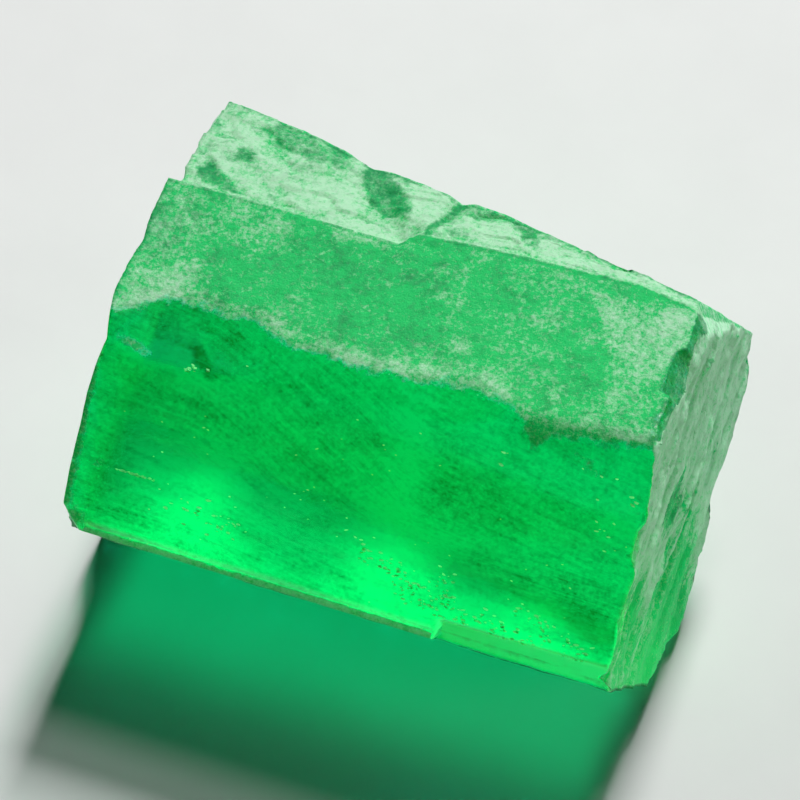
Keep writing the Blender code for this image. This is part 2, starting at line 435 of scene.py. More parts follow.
# The front edge is worn to a narrow ledge that looks up, left of the step.
x = points[..., 0]
ledge_ends = ramp(x, 2.42, 2.34) * ramp(x, -5.5, -5.2)
ledge_width = 0.07 + 0.03 * layered_noise(points * np.array([0.9, 0.0, 0.0]), 15)
ledge_rise = ramp(girth[None, :], 0.0, ledge_width) * ramp(girth[None, :], 0.26, 0.10)
points[..., 1] += np.where(on_front, 0.05 * ledge_rise * ledge_ends, 0.0)
# The lip is painted frosted and pale: partly wear of the edge, partly a painted highlight where it catches
# the lamp.
lip = np.where(on_front, ramp(girth[None, :], ledge_width + 0.05, ledge_width - 0.03), 0.0) * ledge_ends

# The step on the front edge: right of it the edge is cut back to an upright strip.
STRIP_FOOT = 4.40
strip = ramp(points[..., 0], 2.40, 2.50)
cut_back = np.maximum(points[..., 1], -0.4 * (1.0 - strip))
points[..., 1] = np.where(strip > 0.0, cut_back, points[..., 1])
on_strip = (on_front | on_under) & (points[..., 0] > 2.45) & (points[..., 1] < 0.012)
on_strip &= points[..., 2] < 5.4
points[..., 2] = np.where(on_strip & on_under, np.maximum(points[..., 2], STRIP_FOOT), points[..., 2])
points[..., 2] = np.maximum(points[..., 2], 0.0)

poles = np.array([points[0].mean(axis=0), points[-1].mean(axis=0)])

# Frost: how etched the surface is, from 0 where it is clear to 1 where it is white with pits.
x = points[..., 0]
y = points[..., 1]
z = points[..., 2]
ragged = 0.24 * layered_noise(points * 2.8, 21, 5, 0.85)
frost = ramp(above_fold - frost_line + ragged, -0.30, 0.20)
frost = np.where(on_front | on_top, frost, 1.0)
frost = np.where(on_under | on_foot, 0.75, frost)
on_bevel = cleaved["glassy_bevel"] & (y > 2.5) & (y < 6.3)
# The edge of the half-clear strip along the right end of the top face, as (across, along).
GLASSY_BAND_EDGE = np.array(
    [
        (2.6, 6.02), (2.88, 5.91), (3.5, 5.84), (4.02, 5.95), (4.12, 5.72),
        (4.74, 5.70), (5.08, 5.70), (5.33, 5.92), (5.85, 5.97), (6.1, 6.02),
    ]
)
GLASSY_FROST = 0.55
band_edge = np.interp(y, GLASSY_BAND_EDGE[:, 0], GLASSY_BAND_EDGE[:, 1])
band_edge += 0.04 * layered_noise(points * 3.0, 86, 3)
glassy_band = on_top * ramp(x - band_edge, -0.04, 0.04)
frost = np.where(on_bevel, GLASSY_FROST, frost) * (1.0 - glassy_band) + GLASSY_FROST * glassy_band
frost = np.where(on_strip, 0.0, frost)
FAR_OFF = 99.0
over = np.where(on_side, girth[None, :], FAR_OFF)
over = np.where(on_strip & on_under, 0.0, over)


def spot(across_face, up_face, middle, size, turn=0.0):
    """A soft round patch on a face: e to the power of minus the squared distance from its middle,
    measured in its own size each way."""
    dx = across_face - middle[0]
    dy = up_face - middle[1]
    long_way = dx * np.cos(turn) + dy * np.sin(turn)
    short_way = dy * np.cos(turn) - dx * np.sin(turn)
    return np.exp(-((long_way / size[0]) ** 2) - (short_way / size[1]) ** 2)


def flat_patch(across_face, up_face, corners, soft):
    """A patch with straight sides: 1 inside its outline, 0 outside, eased over its rim by the least
    distance to its sides."""
    outline = np.array(corners)
    heart = outline.mean(axis=0)
    least = np.full(across_face.shape, 1e9)
    for start, stop in zip(outline, np.roll(outline, -1, axis=0)):
        way = (stop - start) / np.linalg.norm(stop - start)
        inward = np.array([-way[1], way[0]])
        inward = inward * np.sign((heart - start) @ inward)
        distance = (across_face - start[0]) * inward[0] + (up_face - start[1]) * inward[1]
        least = np.minimum(least, distance)
    return ramp(least, -soft, soft)


# Frosted places on the clear face, and clear chips beside its right edge.
FROSTED_SPOTS = (
    # middle (along, girth), size, turn, strength
    ((-5.62, 0.25), (0.28, 0.32), 0.0, 0.9),
    ((-5.23, 1.70), (0.22, 0.16), 0.0, 0.5),
    ((-5.10, 4.72), (0.42, 0.13), -0.4, 0.9),
    ((4.75, 4.42), (0.42, 0.10), -0.55, 0.55),
)
for middle, size, turn, strength in FROSTED_SPOTS:
    frost = np.maximum(frost, on_front * strength * spot(x, over, middle, size, turn))
frost = np.maximum(frost, on_front * 0.8 * ramp(x, -5.60, -5.85))
frost = np.maximum(frost, on_front * 1.1 * lip)
on_end = ~on_side & (side_share > 0.5)
UPPER_CHIP = [(2.26, 8.5), (1.9, 8.0), (1.3, 7.1), (1.75, 7.0), (2.3, 7.7), (2.55, 8.3)]
LOWER_CHIP = [(0.75, 6.2), (0.35, 5.5), (0.9, 5.2), (1.3, 6.0)]
chips = np.maximum(flat_patch(y, z, UPPER_CHIP, 0.06), flat_patch(y, z, LOWER_CHIP, 0.06))
frost = frost * (1.0 - 0.55 * on_end * chips)

# Shine: the clear face's colour painted with the light that comes up through it, from 0 in its dark veils
# to 1 in its glows. The glows are painted light; the veils and streaks are partly the stone's own and
# partly painted shade.
CLEAR_FACE_SPOTS = (
    # middle (along, girth), size, turn, strength
    ((-3.1, 1.12), (0.95, 0.45), -0.2, 0.32),
    ((-2.8, 0.98), (0.60, 0.26), -0.2, 0.15),
    ((-2.8, 2.40), (1.20, 0.85), -0.1, 0.36),
    ((1.25, 1.20), (1.20, 0.60), -0.25, 0.26),
    ((1.40, 0.75), (0.80, 0.35), -0.2, 0.08),
    ((3.40, 0.62), (0.70, 0.36), -0.1, 0.80),
    ((4.65, 1.10), (0.60, 0.30), -0.1, 0.45),
    ((5.20, 0.50), (1.30, 0.30), -0.1, 0.35),
    ((1.05, 3.30), (0.40, 1.60), 0.0, 0.58),
    ((0.60, 2.00), (0.80, 0.60), 0.0, 0.32),
    ((-3.80, 4.00), (0.35, 0.30), 0.0, 0.25),
    ((1.95, 1.95), (0.60, 0.45), 0.0, 0.65),
    ((-1.0, 2.10), (1.30, 0.45), -0.2, 0.20),
    ((-4.6, 0.60), (0.90, 0.35), 0.0, -0.22),
    ((-4.2, 1.60), (0.60, 0.35), 0.0, 0.20),
    ((2.0, 4.30), (1.60, 0.50), 0.0, 0.12),
    ((5.5, 3.60), (0.70, 1.10), 0.0, 0.30),
    ((-5.2, 2.40), (0.45, 0.60), 0.0, -0.18),
    ((-4.4, 4.60), (0.42, 0.36), 0.0, 0.40),
    ((-3.4, 3.65), (0.70, 0.16), -0.45, -0.22),
    ((-0.7, 2.60), (1.40, 0.50), -0.5, -0.10),
    ((2.9, 3.00), (1.10, 0.60), -0.3, -0.18),
    ((5.45, 1.90), (0.60, 1.00), 0.0, -0.22),
    ((3.50, 4.75), (0.30, 0.36), -0.9, -0.35),
    ((-3.82, 4.16), (0.16, 0.12), 0.0, 0.45),
    ((-3.42, 4.20), (0.08, 0.08), 0.0, 0.45),
)
USUAL_SHINE = 0.625
shine = np.full(x.shape, USUAL_SHINE)
for middle, size, turn, strength in CLEAR_FACE_SPOTS:
    shine += strength * spot(x, over, middle, size, turn)
DARK_SLIVER = [(-4.05, 5.02), (-3.72, 5.10), (-3.28, 4.45), (-3.24, 4.20), (-3.42, 4.28)]
shine -= 0.55 * flat_patch(x, over, DARK_SLIVER, 0.05)
lean = np.interp(x, [-6.0, -3.5, -2.5, 1.0, 2.0, 6.3], [0.0, 0.38, 0.90, 3.0, 3.35, 4.2])
streak_over = over + lean * (0.30 + 0.70 * ramp(over, 0.4, 2.6))
streaks = np.stack([x * 0.22, streak_over * 1.9, z * 0.0], axis=-1)
warp = np.stack([layered_noise(points * 0.9, 61), layered_noise(points * 0.9, 62), z * 0.0], axis=-1)
shine += 0.38 * layered_noise(streaks + 0.3 * warp, 63, 5, 0.80)
shine += 0.20 * layered_noise(points * 1.0, 64, 4, 0.6)
shine += 0.55 * layered_noise(points * np.array([1.6, 2.8, 2.8]), 65, 5, 0.90)
shine = np.clip(shine, 0.0, 1.0)
shine = np.where(on_front | on_top | on_strip, shine, 0.45)
shine = np.where(on_bevel | on_end, 0.16, shine)
shine = shine * (1.0 - glassy_band) + 0.12 * glassy_band
# The upright strip is painted brighter, as painted light, with a darker line along it.
strip_line = ramp(np.abs(z - 4.66 - 0.02 * np.sin(3.0 * x)), 0.07, 0.02) * on_strip
strip_streaks = layered_noise(np.stack([x * 0.9, y * 0.0, z * 9.0], axis=-1), 66, 4, 0.7)
shine = shine + on_strip * (0.30 - 0.6 * strip_line + 0.25 * ramp(z, 4.8, 5.0) + 0.8 * strip_streaks)

# Pale and dim: how white the frosted skin is and how dark. Each is partly the skin's own tone and partly
# painted light and shade: painted highlights on flats that face the lamps, painted shade on flats turned
# from them, in the crease under the ledge and in the hollows of the broken ends.
TOP_FACE_PATCHES = (
    # corners, softness of the rim, strength
    ([(-4.53, 6.05), (-3.09, 6.06), (-2.99, 5.51), (-4.3, 5.46)], 0.15, 0.14),
    ([(-2.18, 5.99), (-0.9, 6.0), (-0.81, 5.77), (-1.97, 5.73)], 0.06, 0.34),
    ([(-5.9, 3.85), (-4.66, 4.09), (-4.09, 3.48), (-5.58, 3.04)], 0.20, 0.18),
    ([(-2.65, 5.48), (-0.13, 5.84), (0.89, 3.68), (-1.25, 3.55)], 0.50, -0.14),
    ([(-1.12, 3.2), (2.43, 3.63), (2.88, 2.99), (-0.75, 2.8)], 0.20, 0.14),
    ([(3.52, 6.03), (5.86, 6.16), (5.94, 5.33), (5.59, 4.19), (4.38, 4.86)], 0.20, 0.48),
    ([(4.35, 4.33), (5.27, 4.48), (5.54, 3.41), (4.68, 3.4)], 0.15, 0.22),
    ([(3.23, 5.03), (4.28, 4.83), (4.61, 3.9), (3.65, 3.86)], 0.15, -0.14),
    ([(4.21, 6.23), (5.12, 6.12), (5.23, 5.5), (4.7, 5.47)], 0.10, -0.24),
)
BAND_PATCHES = (
    ([(-5.6, 8.6), (-5.23, 8.57), (-4.47, 8.02), (-4.58, 7.71), (-5.33, 8.1)], 0.05, 0.42),
    ([(-5.54, 7.36), (-5.7, 8.47), (-5.32, 8.11), (-4.62, 7.7), (-4.67, 7.25), (-5.32, 6.91)], 0.07, 0.02),
    ([(-4.87, 7.77), (-4.5, 7.74), (-4.35, 7.37), (-4.78, 7.31)], 0.06, -0.45),
    ([(-5.45, 6.73), (-5.31, 7.05), (-4.54, 6.64), (-4.31, 6.33), (-5.13, 6.42)], 0.07, -0.55),
    ([(-5.13, 7.01), (-4.27, 7.5), (-2.72, 7.41), (-2.15, 6.8), (-2.95, 6.27), (-4.34, 6.41)], 0.10, 0.12),
    ([(-4.71, 8.4), (-4.32, 8.68), (-2.7, 8.4), (-2.22, 7.86), (-2.85, 7.76), (-3.83, 7.99)], 0.08, -0.36),
    ([(-3.07, 6.88), (-2.82, 7.37), (-2.12, 7.7), (-1.76, 7.11), (-1.82, 6.23), (-2.26, 6.2)], 0.10, 0.28),
    ([(-2.23, 8.2), (-1.93, 8.2), (-1.27, 7.69), (-0.74, 6.99), (-1.26, 6.8), (-1.87, 7.23)], 0.06, -0.50),
    ([(-1.11, 7.9), (-0.79, 8.0), (-0.12, 7.72), (-0.29, 6.73), (-0.74, 6.99)], 0.05, 0.45),
    ([(-0.12, 7.72), (0.22, 7.75), (0.11, 7.27), (-0.14, 6.46), (-0.4, 6.43), (-0.29, 6.73)], 0.05, -0.60),
    ([(0.29, 7.38), (1.54, 7.29), (1.73, 6.76), (0.66, 6.66)], 0.06, 0.36),
    ([(2.01, 7.2), (3.39, 7.0), (3.5, 6.71), (2.19, 6.71)], 0.06, 0.36),
    ([(3.41, 6.94), (5.51, 6.57), (5.55, 6.44), (3.5, 6.71)], 0.05, 0.30),
    ([(1.48, 7.43), (2.08, 7.29), (2.04, 6.81), (1.57, 6.9)], 0.06, -0.30),
    ([(-1.89, 6.53), (-0.68, 6.42), (-0.55, 6.08), (-1.79, 6.14)], 0.05, 0.38),
)
END_PATCHES = (
    ([(5.5, 9.9), (7.4, 8.6), (7.9, 7.3), (6.7, 7.9), (5.7, 9.0)], 0.16, -0.45),
    ([(6.98, 7.19), (8.63, 4.99), (8.49, 4.46), (7.33, 6.04)], 0.20, 0.30),
    ([(3.5, 6.2), (4.7, 5.9), (4.7, 4.74), (3.54, 4.9)], 0.24, -1.30),
    ([(2.98, 5.03), (3.86, 4.01), (3.65, 3.41), (2.86, 4.11)], 0.20, -0.40),
    ([(1.69, 5.15), (2.48, 4.26), (2.17, 3.22), (1.39, 3.92)], 0.20, -0.50),
    ([(4.49, 9.0), (5.16, 8.2), (4.92, 8.09)], 0.12, -0.50),
)
drift_x = x + 0.10 * layered_noise(points * 2.5, 74, 3)
drift_y = y + 0.10 * layered_noise(points * 2.5, 75, 3)
drift_z = z + 0.12 * layered_noise(points * 1.5, 76, 3)
top_flats = cleavage_blocks(x, y, (0.75, 0.42), 85)
top_pale = -0.02 + 0.85 * layered_noise(points * 1.3, 71, 6, 0.88) + 0.30 * top_flats
top_pale += 0.14 * ramp(x, -3.6, -5.6) + 0.10 * ramp(above_fold, 0.9, 0.0)
top_pale += 0.30 * ramp(np.abs(above_fold - frost_line - 0.12), 0.34, 0.04)
ridge_here = np.interp(x, RIDGE_LINE[:, 0], RIDGE_LINE[:, 1])
# Painted shade: towards the right, the top face is less pale next to the foot of the ledge.
top_pale -= 0.30 * ramp(y - ridge_here, -0.16, -0.06) * ramp(x, 0.4, 1.6)
top_dim = 0.06 + 0.75 * layered_noise(points * 1.9, 81, 4, 0.78) + 0.45 * ramp(x, -5.50, -5.85)
top_dim -= 0.25 * spot(x, y, (2.3, 4.6), (1.3, 1.0))
# Painted highlights and painted shade on the top face: listed flats are painted paler where they face the
# lamps, darker where they turn from them.
for corners, soft, strength in TOP_FACE_PATCHES:
    patch = flat_patch(drift_x, drift_y, corners, soft)
    top_pale += 1.3 * strength * patch
    top_dim -= 1.0 * strength * patch
# Painted light and painted shade on the band: its cleavage blocks are painted paler on their raised parts
# and darker on their sunk parts, and the listed patches paler and darker.
band_pale = 0.70 + 0.55 * layered_noise(points * 1.7, 72, 5, 0.85) + 4.6 * band_flats
band_dim = 0.05 + 0.60 * layered_noise(points * 1.9, 82, 4, 0.82) - 2.6 * band_flats
for corners, soft, strength in BAND_PATCHES:
    patch = flat_patch(drift_x, drift_y, corners, soft)
    band_pale += strength * patch
    band_dim -= 1.25 * strength * patch
band_back = np.interp(x, BAND_BACK_LINE[:, 0], BAND_BACK_LINE[:, 1])
band_pale -= 0.25 * ramp(y - band_back, -0.12, -0.02)
band_dim += 0.45 * ramp(y - band_back, -0.14, -0.03)
# Painted shade in the crease under the ledge, on the top face and on the band.
under_ledge = ramp(np.abs(y - ridge_here + 0.02), 0.10, 0.02)
under_ledge *= 0.6 + 0.5 * layered_noise(points * 1.2, 83, 2)
top_dim += 0.60 * under_ledge
band_dim += 0.45 * under_ledge
splinters = np.stack([x * 0.0, along_fibres(y, z) * 0.55, over_fibres(y, z) * 1.5], axis=-1)
fibres = end_fibres(y, z)
end_low = ramp(z - 0.25 * y, 4.2, 1.5) * ramp(y, 6.5, 4.5)
end_low = np.maximum(end_low, 0.75 * ramp(y, 2.9, 1.4) * ramp(z, 7.2, 6.0))
# Painted shade in the hollows between the fibres of the broken ends, and painted light on their crests.
end_dim = -0.61 + 0.50 * ramp(fibres, 0.15, -0.9) + 0.29 * end_low
end_dim += 1.10 * layered_noise(splinters, 84, 5, 0.82)
end_pale = 1.12 + 0.75 * fibres - 2.1 * end_low + 0.45 * ramp(y, 4.6, 7.0)
end_pale += 0.80 * layered_noise(splinters * 0.8, 73, 5, 0.80)
end_pale += 0.30 * ramp(reach, 0.965, 0.995) * ramp(z, 5.8, 7.2)
ragged_y = drift_y + 0.38 * layered_noise(splinters * 1.7, 87, 4, 0.75)
ragged_z = drift_z + 0.38 * layered_noise(splinters * 1.7, 88, 4, 0.75)
# Painted light and painted shade on the cleavage flats of the right break.
for corners, soft, strength in END_PATCHES:
    patch = flat_patch(ragged_y, ragged_z, corners, soft) * (side_share > 0.5)
    end_pale += strength * patch
    end_dim -= 0.8 * strength * patch
pale = np.where(on_side, 0.25 + 0.3 * layered_noise(points * 1.1, 77, 5, 0.7), end_pale)
pale = np.where(on_top, top_pale, pale)
pale = np.where(on_band, band_pale, pale)
# Painted highlight, partly wear: the lip is painted paler.
pale = np.where(on_front, 0.08 + 0.80 * lip, pale)
pale = np.clip(pale, -0.4, 1.0)
dim = np.where(on_side, 0.0, end_dim)
dim = np.where(on_top, top_dim, dim)
dim = np.where(on_band, band_dim, dim)
GLASSY_DIM = 0.85
dim = np.where(on_bevel, GLASSY_DIM, dim) * (1.0 - glassy_band) + GLASSY_DIM * glassy_band

# Which parts are out of sight or half so, which are under the stone, through which lamp light leaves it
# towards the ground, and which are splintery; the splintery breaks also get a brighter etched green and
# white, as painted light.
hidden = on_back | on_foot | on_under | ((side_share < 0.5) & ~on_side)
hidden = np.where(on_end, 0.45 * (1.0 - end_low), hidden)
beneath = np.where((on_foot | on_under) & ~on_strip, 1.0, 0.0)
way_out = np.where(on_end, 1.0, beneath)
fibres_and_painted_light = np.where(on_side, 0.0, 1.0)

# Light that enters near the outline leaves sideways, so the shadow is dark along its rim: each
# point is followed along the lamp's rays down to the ground.
TOWARDS_LAMP = (0.0, 0.58, 0.815)
cast_x = x - z * TOWARDS_LAMP[0] / TOWARDS_LAMP[2]
cast_y = y - z * TOWARDS_LAMP[1] / TOWARDS_LAMP[2]
near_outline = np.maximum(ramp(cast_y, 1.3, -1.1), ramp(np.abs(cast_x - 0.1), 5.0, 6.1))

# Painted light: how brightly the resting face glows, seen from inside, where lamp light gathers on it,
# with painted shade where less gathers.
glow_reach = 2.0 * np.exp(-(((x - 0.35) / 1.0) ** 2)) + 1.6 * np.exp(-(((x + 4.0) / 0.8) ** 2))
glow_reach += 1.2 * np.exp(-(((x - 3.6) / 0.7) ** 2))
lit_foot = 1.0 - 0.60 * ramp(y - glow_reach, 3.4, 6.6)
lit_foot -= 0.22 * np.exp(-(((x + 1.6) / 1.3) ** 2)) * ramp(y, 6.0, 4.9)
lit_inside = np.where(on_foot, lit_foot, 1.0)

mesh = bpy.data.meshes.new("crystal_skin")
vertices = (np.concatenate([points.reshape(-1, 3), poles]) - MIDDLE) * MM
low_corner, high_corner = (np.array(corner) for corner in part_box("emerald_crystal"))
# Only the swollen foot of the left break may stand this far beyond the solid.
SWOLLEN_FOOT = 0.28
vertices = np.clip(vertices, low_corner - np.array([SWOLLEN_FOOT, 0.0, 0.0]) * MM, high_corner)
row_index = np.arange(rows - 1)[:, None] * columns
column_index = np.arange(columns)[None, :]
next_column = (column_index + 1) % columns
next_row = row_index + columns
quads = np.stack(
    [row_index + column_index, next_row + column_index, next_row + next_column, row_index + next_column],
    axis=-1,
).reshape(-1, 4)
left_pole = np.full(columns, rows * columns)
left_fan = np.stack([left_pole, column_index[0], next_column[0]], axis=-1)
last = (rows - 1) * columns
right_fan = np.stack([left_pole + 1, last + next_column[0], last + column_index[0]], axis=-1)
faces = quads.tolist() + left_fan.tolist() + right_fan.tolist()
mesh.from_pydata(vertices.tolist(), [], faces)
mesh.polygons.foreach_set("use_smooth", np.ones(len(faces), bool))


def paint(name, values, pole_values):
    """Keep one number for each point of the mesh, and for its two poles, as a named attribute."""
    layer = mesh.attributes.new(name, "FLOAT", "POINT")
    layer.data.foreach_set("value", np.concatenate([values.ravel(), pole_values]).astype(np.float32))


paint("frost", frost, [1.0, 1.0])
paint("shine", shine, [0.8, 0.8])
paint("pale", pale, [0.4, 0.4])
paint("dim", dim, [0.0, 0.0])
paint("hidden", hidden, [1.0, 0.0])
paint("beneath", beneath, [0.0, 0.0])
paint("lit_inside", lit_inside, [1.0, 1.0])
paint("fibres_and_painted_light", fibres_and_painted_light, [1.0, 1.0])
paint("near_outline", near_outline, [1.0, 1.0])
paint("way_out", way_out, [0.0, 1.0])
streak_layer = mesh.attributes.new("streak_place", "FLOAT_VECTOR", "POINT")
side_places = np.stack([x * 0.10, streak_over, z * 0.0], axis=-1)
end_places = np.stack([along_fibres(y, z) * 0.09, 0.9 * over_fibres(y, z), z * 0.0], axis=-1)
streak_places = np.where(on_side[..., None], side_places, end_places)
streak_places = np.concatenate(
    [streak_places.reshape(-1, 3), streak_places[0, :1], streak_places[-1, :1]]
)
streak_layer.data.foreach_set("vector", streak_places.ravel().astype(np.float32))
mesh.update()
crystal = bpy.data.objects.new("beryl_prism", mesh)
bpy.context.scene.collection.objects.link(crystal)

emerald = bpy.data.materials.new("etched_emerald")
emerald.use_nodes = True
tree = emerald.node_tree
tree.nodes.clear()


def add(kind, **settings):
    """Add a node of a kind, with its settings."""
    item = tree.nodes.new("ShaderNode" + kind)
    for key, value in settings.items():
        setattr(item, key, value)
    return item


def feed(socket, value):
    """Link a socket, or set its number or colour."""
    if isinstance(value, bpy.types.NodeSocket):
        tree.links.new(value, socket)
    else:
        socket.default_value = value


def sum_up(operation, *values, clamp=False):
    """A Math node on two or three values."""
    item = add("Math", operation=operation, use_clamp=clamp)
    for socket, value in zip(item.inputs, values):
        feed(socket, value)
    return item.outputs[0]


def spread_out(noise, strength):
    """Noise about one half turned into noise about nought: less one half, times a strength."""
    return sum_up("MULTIPLY", sum_up("SUBTRACT", noise, 0.5), strength)


def between(share, low, high):
    """A number that goes from low to high with share."""
    item = add("Mix", data_type="FLOAT")
    feed(item.inputs[0], share)
    feed(item.inputs[2], low)
    feed(item.inputs[3], high)
    return item.outputs[0]


def blend(share, low, high):
    """A colour that goes from low to high with share."""
    item = add("Mix", data_type="RGBA")
    feed(item.inputs[0], share)
    feed(item.inputs[6], low)
    feed(item.inputs[7], high)
    return item.outputs[2]


def grain(scale, detail, rough):
    """Noise on Object coordinates."""
    item = add("TexNoise")
    feed(item.inputs["Vector"], add("TexCoord").outputs["Object"])
    feed(item.inputs["Scale"], scale)
    feed(item.inputs["Detail"], detail)
    feed(item.inputs["Roughness"], rough)
    return item.outputs[0]


def painted(name):
    """An attribute of the mesh."""
    return add("Attribute", attribute_name=name).outputs["Fac"]


# Colours: the clear skin with its painted glow, the etched skin over it, and the inside as light leaves
# it, painted bright green with painted shade where it is less lit.
ragged_grain = grain(5200.0, 4.0, 0.75)
frost_share = add("MapRange", interpolation_type="SMOOTHSTEP")
feed(frost_share.inputs["Value"], sum_up("ADD", spread_out(ragged_grain, 1.5), painted("frost")))
feed(frost_share.inputs["From Min"], 0.25)
feed(frost_share.inputs["From Max"], 0.75)
frosted = frost_share.outputs[0]
fine_mottle = grain(9000.0, 4.0, 0.8)
streak_noise = add("TexNoise")
feed(streak_noise.inputs["Vector"], add("Attribute", attribute_name="streak_place").outputs["Vector"])
feed(streak_noise.inputs["Scale"], 9.0)
feed(streak_noise.inputs["Detail"], 5.0)
feed(streak_noise.inputs["Roughness"], 0.72)
streak = sum_up("SUBTRACT", streak_noise.outputs[0], 0.5)
speckle = spread_out(fine_mottle, 3.8)
fibre = sum_up("MULTIPLY", streak, sum_up("MULTIPLY", painted("fibres_and_painted_light"), 2.4))
mottle_share = sum_up("ADD", painted("pale"), sum_up("ADD", speckle, fibre), clamp=True)
speckled_streak = sum_up("MULTIPLY_ADD", speckle, 0.50, sum_up("MULTIPLY", streak, 1.40))
shine_share = sum_up("ADD", painted("shine"), speckled_streak, clamp=True)
clear_colour = blend(shine_share, (0.0, 0.16, 0.08, 1.0), (0.01, 1.0, 1.0, 1.0))
# On the splintery breaks the etched green and white are painted brighter: painted light.
etched_green = blend(painted("fibres_and_painted_light"), (0.0, 0.56, 0.15, 1.0), (0.0, 0.80, 0.24, 1.0))
etched_white = blend(painted("fibres_and_painted_light"), (0.52, 0.78, 0.59, 1.0), (0.66, 1.0, 0.76, 1.0))
skin_colour = blend(mottle_share, etched_green, etched_white)
lit_colour = blend(painted("beneath"), (0.03, 1.0, 0.74, 1.0), (0.03, 0.95, 0.42, 1.0))
inner_colour = blend(painted("lit_inside"), (0.0, 0.10, 0.03, 1.0), lit_colour)
coarse_mottle = spread_out(grain(4200.0, 5.0, 0.8), 3.0)
dim_share = sum_up("ADD", painted("dim"), coarse_mottle, clamp=True)
# The skin is darkened by dim: its own dark tone together with painted shade.
skin_colour = blend(dim_share, skin_colour, (0.005, 0.25, 0.09, 1.0))
# Painted shade: the faces under the stone are painted dark green.
skin_colour = blend(painted("beneath"), skin_colour, (0.0, 0.16, 0.05, 1.0))
visible_colour = blend(frosted, clear_colour, skin_colour)
inside = add("NewGeometry").outputs["Backfacing"]
shader = add("BsdfPrincipled")
feed(shader.inputs["Base Color"], blend(inside, visible_colour, inner_colour))
feed(shader.inputs["Roughness"], between(frosted, 0.22, 0.55))
clearness = between(frosted, 0.94, between(painted("hidden"), 0.30, 0.10))
feed(shader.inputs["Transmission Weight"], between(inside, clearness, between(frosted, 0.80, 0.05)))
feed(shader.inputs["IOR"], 1.58)
feed(shader.inputs["Specular IOR Level"], 0.08)
fine = grain(4600.0, 6.0, 0.75)
bump = add("Bump")
feed(bump.inputs["Strength"], between(frosted, 0.10, 0.60))
feed(bump.inputs["Distance"], 0.00008)
feed(bump.inputs["Height"], fine)
feed(shader.inputs["Normal"], bump.outputs[0])

# Lamp light on its way through to the ground takes only this tint; the rest is absorbed.
light_path = add("LightPath")
let_through = add("BsdfTransparent")
facing = add("LayerWeight")
feed(facing.inputs["Blend"], 0.3)
top_tint = blend(facing.outputs["Facing"], (0.6, 1.0, 0.75, 1.0), (0.0, 0.10, 0.08, 1.0))
lower_tint = blend(painted("near_outline"), (0.001, 0.44, 0.255, 1.0), (0.0, 0.065, 0.042, 1.0))
feed(let_through.inputs["Color"], blend(painted("way_out"), top_tint, lower_tint))
shadow_mix = add("MixShader")
feed(shadow_mix.inputs[0], light_path.outputs["Is Shadow Ray"])
feed(shadow_mix.inputs[1], shader.outputs[0])
feed(shadow_mix.inputs[2], let_through.outputs[0])

# The stone's own green: light is taken up little by little on its way through.
body_colour = add("VolumeAbsorption")
feed(body_colour.inputs["Color"], (0.0, 0.985, 0.905, 1.0))
feed(body_colour.inputs["Density"], 450.0)
out = add("OutputMaterial")
feed(out.inputs["Surface"], shadow_mix.outputs[0])
feed(out.inputs["Volume"], body_colour.outputs[0])
mesh.materials.append(emerald)

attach(crystal, "root")
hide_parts("emerald_crystal")

# ---------------------------------------------------------------------------
# Inclusions: flakes and one needle of other minerals, caught in the beryl as it grew. They are
# thin see-through plates set flat at the skin of the clear face, thickest in its glowing parts.
# ---------------------------------------------------------------------------
FLAKE_CLUSTERS = (
    # middle (along, girth), spread, turn, how many, size
    ((-3.00, 1.16), (0.50, 0.20), -0.25, 26, 0.022),
    ((-2.35, 1.10), (0.20, 0.10), -0.25, 10, 0.022),
    ((1.20, 1.26), (0.55, 0.16), -0.42, 50, 0.021),
    ((1.75, 0.92), (0.42, 0.17), -0.30, 36, 0.021),
    ((2.45, 1.05), (0.16, 0.28), 0.30, 24, 0.021),
    ((2.85, 0.70), (0.28, 0.12), -0.15, 14, 0.024),
    ((3.60, 0.72), (0.30, 0.14), -0.15, 26, 0.026),
    ((4.75, 0.70), (0.60, 0.12), -0.05, 26, 0.023),
    ((5.50, 0.70), (0.25, 0.10), 0.0, 10, 0.025),
    ((4.60, 1.05), (0.40, 0.08), -0.25, 30, 0.021),
    ((5.35, 3.35), (0.22, 0.60), 0.0, 10, 0.024),
    ((5.95, 4.20), (0.12, 0.12), 0.0, 6, 0.030),
    ((-4.50, 1.57), (0.20, 0.010), 0.0, 44, 0.018),
    ((-3.80, 4.16), (0.06, 0.05), 0.0, 12, 0.026),
    ((-3.40, 4.24), (0.03, 0.03), 0.0, 2, 0.030),
    ((0.00, 2.60), (3.60, 1.30), 0.0, 60, 0.012),
)
FLAKE_SIDES = 7
FLAKE_GROWTH = 1.25
FLAKE_STAND = 0.45
FLAKE_HALF_THICKNESS = 0.03
LAST_FLAKE_ALONG = 6.0
dice = np.random.default_rng(12)
middles = []
sizes = []
for middle, spread, turn, count, size in FLAKE_CLUSTERS:
    long_way = dice.normal(0.0, spread[0], count)
    short_way = dice.normal(0.0, spread[1], count)
    flake_x = middle[0] + long_way * np.cos(turn) - short_way * np.sin(turn)
    flake_over = middle[1] + long_way * np.sin(turn) + short_way * np.cos(turn)
    flake_x = np.where(np.abs(flake_x) > LAST_FLAKE_ALONG, 0.5 * flake_x, flake_x)
    flake_over = np.clip(flake_over, np.where(flake_x > 2.35, 0.50, 0.16), 4.6)
    flake_depth = dice.uniform(-0.012, 0.002, count)
    middles.append(np.stack([flake_x, flake_over, flake_depth], axis=-1))
    sizes.append(FLAKE_GROWTH * size * dice.uniform(0.55, 1.45, count))
middles = np.concatenate(middles)
sizes = np.concatenate(sizes)
flake_corners = corner_lines(middles[:, 0])
front_corner = flake_corners[:, FRONT]
fold_corner = flake_corners[:, FOLD]
up_face = fold_corner - front_corner
